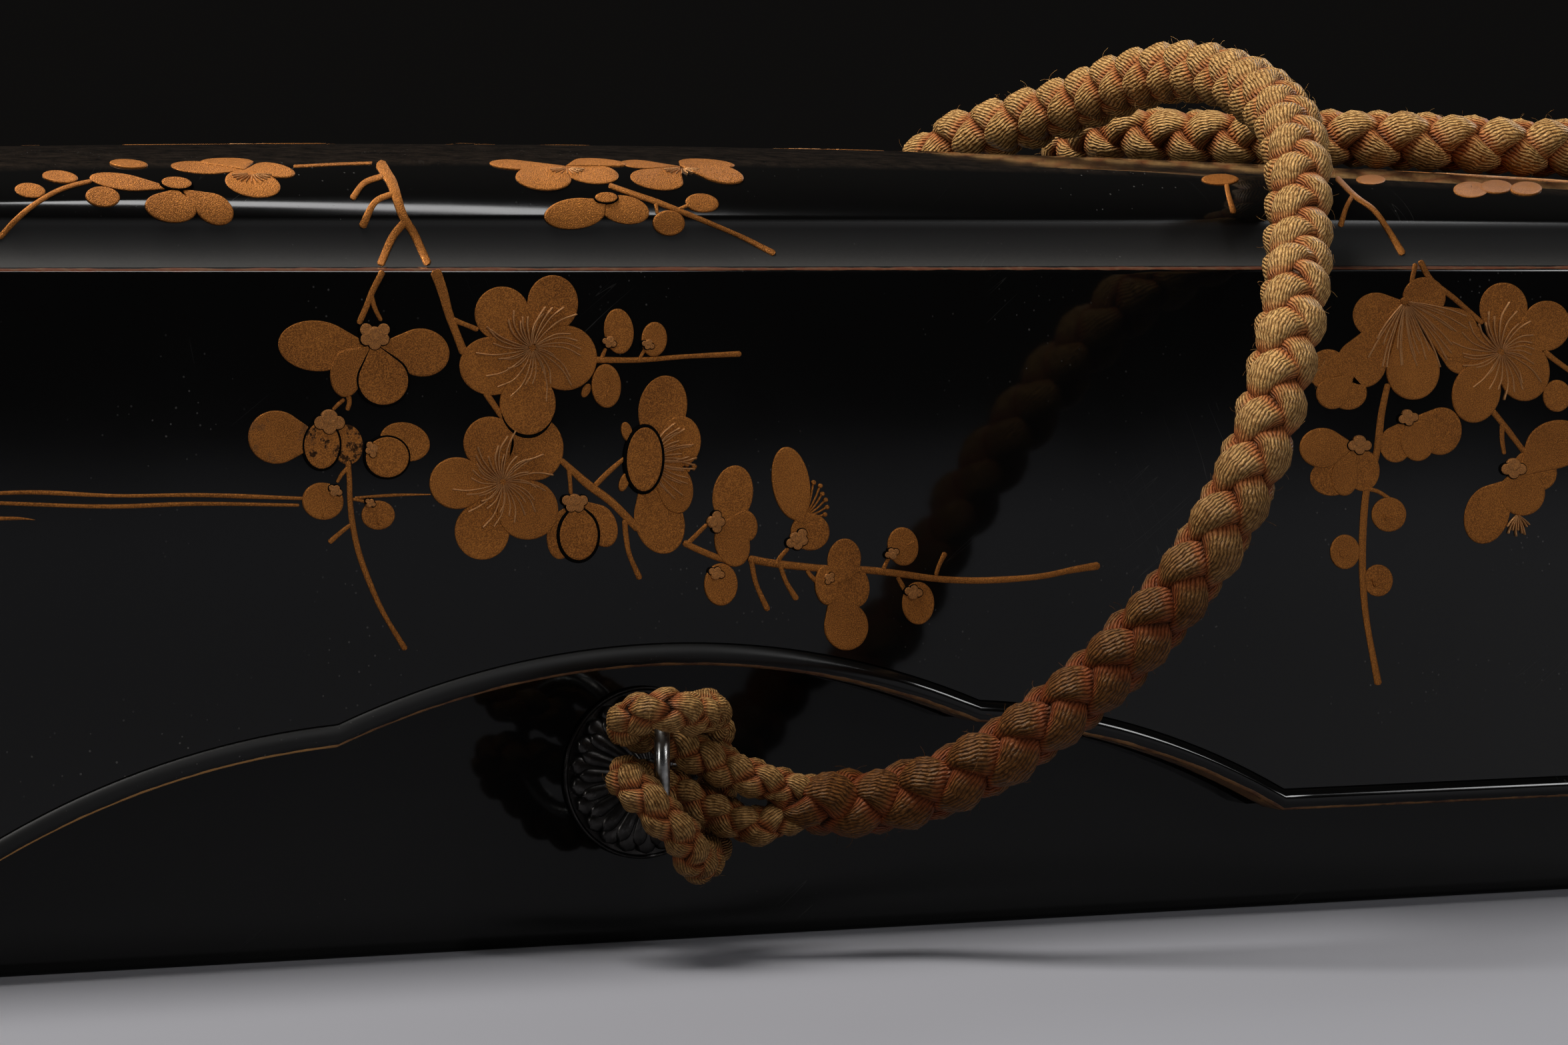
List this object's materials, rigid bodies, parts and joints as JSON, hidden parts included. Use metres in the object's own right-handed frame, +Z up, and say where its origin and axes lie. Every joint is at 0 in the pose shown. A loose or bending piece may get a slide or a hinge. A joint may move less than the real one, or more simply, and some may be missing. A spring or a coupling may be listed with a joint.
{
  "type": "lacquer letter box",
  "caption": "Long lacquered box with a domed lift-off lid, arched cut-outs at its long sides, a metal rosette and ring on each side, and a braided tie cord.",
  "frame": {"origin": "centre of the box's underside, on the surface it stands on", "axes": "+X along the box, from the end without the cord to the end it runs around; -Y towards the long side with the visible rosette; +Z up"},
  "size_m": [0.3156, 0.1491, 0.096],
  "materials": {
    "lid_lacquer": "polished black lacquer with raised gold pattern, worn at the edges",
    "body_lacquer": "polished black lacquer",
    "dark_metal": "dark patinated metal",
    "ring_metal": "worn silvered metal",
    "cord": "aged orange-tan four-strand silk braid"
  },
  "bodies": {
    "root": {"box_body": "body_lacquer", "lid": "lid_lacquer", "front_rosette": "dark_metal", "rear_rosette": "dark_metal", "front_ring_pin": "dark_metal", "rear_ring_pin": "dark_metal", "front_ring": "ring_metal", "rear_ring": "ring_metal", "front_cord_eye": "cord", "rear_cord_eye": "cord", "cord": "cord"}
  },
  "joints": []
}
